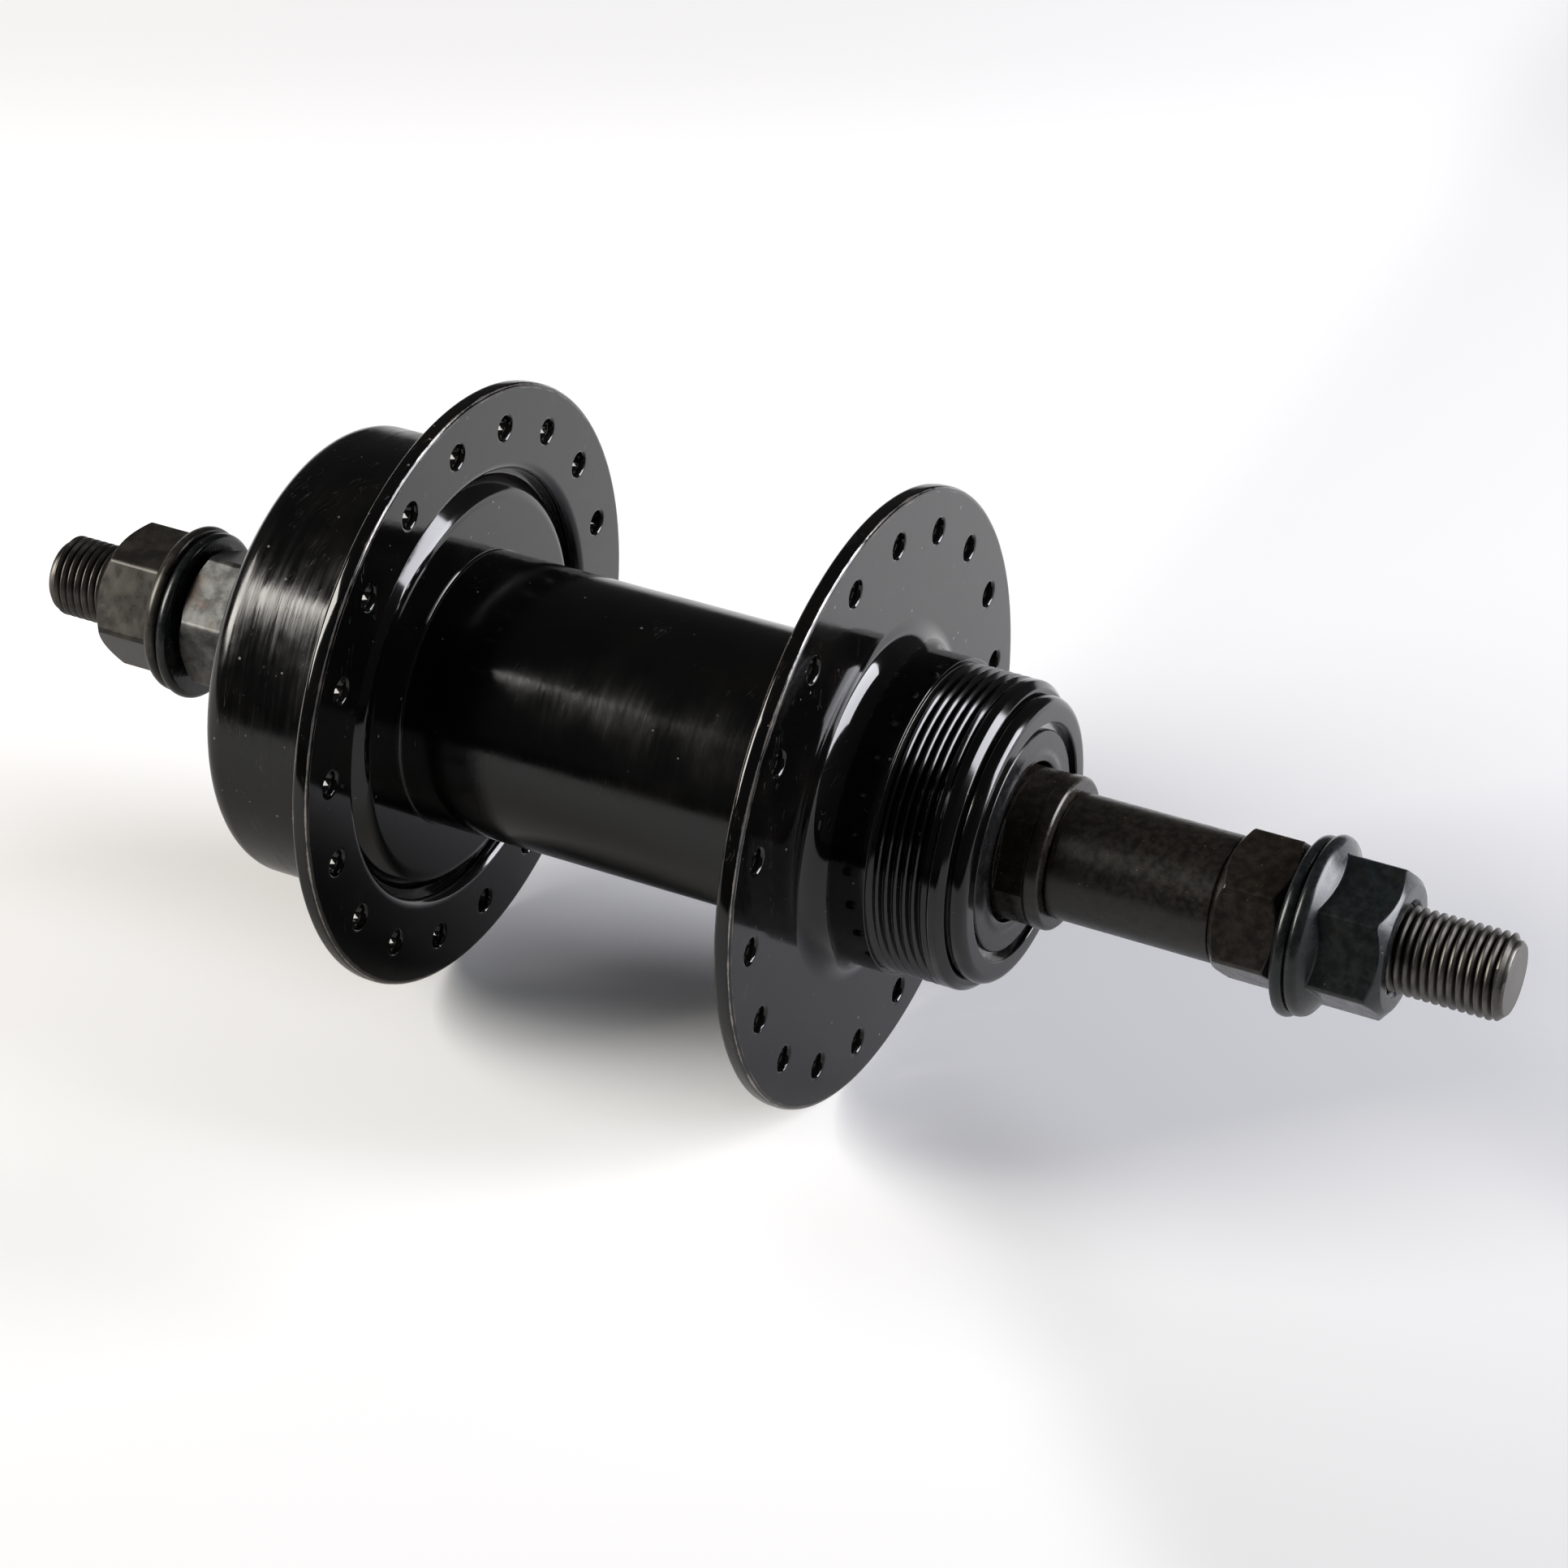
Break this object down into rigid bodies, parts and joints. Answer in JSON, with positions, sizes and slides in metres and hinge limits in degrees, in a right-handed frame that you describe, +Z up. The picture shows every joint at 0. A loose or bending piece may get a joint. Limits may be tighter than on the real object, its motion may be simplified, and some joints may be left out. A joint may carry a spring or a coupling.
{
  "type": "bicycle rear hub",
  "caption": "Rear wheel hub with two spoked flanges, a threaded freewheel boss, a closed brake drum, cup-and-cone ball bearings and a nutted axle.",
  "frame": {"origin": "middle of the axle, on its axis", "axes": "+Y along the axle towards the brake drum, -Y towards the freewheel thread, +Z up, +X horizontal and square to the axle"},
  "size_m": [0.0706, 0.18, 0.0706],
  "materials": {
    "black_enamel": "gloss black stoved enamel on steel",
    "oxide_steel": "black oxide, worn to grey on the corners",
    "worn_locknut": "worn oxide with pale steel and rust tints",
    "spacer_steel": "mottled brown-black oxide",
    "axle_steel": "oiled dark steel, bright on the thread crests",
    "cap_steel": "dark zinc with grease at the bore",
    "bearing_steel": "ground hardened steel",
    "ball_steel": "polished hardened steel",
    "cage_steel": "pressed bright steel"
  },
  "bodies": {
    "axle_set": {"axle": "axle_steel", "drive_cone": "oxide_steel", "drum_cone": "oxide_steel", "drive_spacer": "spacer_steel", "drive_locknut": "oxide_steel", "drum_locknut": "worn_locknut"},
    "hub_shell": {"hub_barrel": "black_enamel", "drive_flange": "black_enamel", "drum_flange": "black_enamel", "freewheel_socket": "black_enamel", "brake_drum": "black_enamel", "shell_end": "black_enamel", "drive_bearing_cup": "bearing_steel", "drum_bearing_cup": "bearing_steel", "drive_dust_cap": "cap_steel", "drum_dust_cap": "cap_steel"},
    "drive_ball_set": {"drive_balls": "ball_steel", "drive_ball_cage": "cage_steel"},
    "drum_ball_set": {"drum_balls": "ball_steel", "drum_ball_cage": "cage_steel"},
    "drive_washer_body": {"drive_washer": "oxide_steel"},
    "drum_washer_body": {"drum_washer": "oxide_steel"},
    "drive_nut_body": {"drive_axle_nut": "oxide_steel"},
    "drum_nut_body": {"drum_axle_nut": "oxide_steel"}
  },
  "joints": [
    {"name": "hub_spin", "type": "hinge", "parent": "axle_set", "child": "hub_shell", "pos_m": [0, 0, 0], "axis": [0, 1, 0], "continuous": true},
    {"name": "drive_ball_orbit", "type": "hinge", "parent": "axle_set", "child": "drive_ball_set", "pos_m": [0, -0.0287, 0], "axis": [0, 1, 0], "continuous": true},
    {"name": "drum_ball_orbit", "type": "hinge", "parent": "axle_set", "child": "drum_ball_set", "pos_m": [0, 0.04855, 0], "axis": [0, 1, 0], "continuous": true},
    {"name": "drive_washer_slide", "type": "slide", "parent": "axle_set", "child": "drive_washer_body", "axis": [0, -1, 0], "range_m": [0, 0.01175]},
    {"name": "drive_nut_turn", "type": "hinge", "parent": "drive_washer_body", "child": "drive_nut_body", "pos_m": [0, -0.0729, 0], "axis": [0, -1, 0], "range_deg": [0, 4320]},
    {"name": "drum_washer_slide", "type": "slide", "parent": "axle_set", "child": "drum_washer_body", "axis": [0, 1, 0], "range_m": [0, 0.00785]},
    {"name": "drum_nut_turn", "type": "hinge", "parent": "drum_washer_body", "child": "drum_nut_body", "pos_m": [0, 0.0763, 0], "axis": [0, 1, 0], "range_deg": [0, 2880]}
  ],
  "couplings": [
    {"joint": "drive_ball_orbit", "follows": "hub_spin", "ratio": 0.6247},
    {"joint": "drum_ball_orbit", "follows": "hub_spin", "ratio": 0.6247},
    {"joint": "drive_washer_slide", "follows": "drive_nut_turn", "m_per_rad": 0.00015548},
    {"joint": "drum_washer_slide", "follows": "drum_nut_turn", "m_per_rad": 0.00015548}
  ]
}
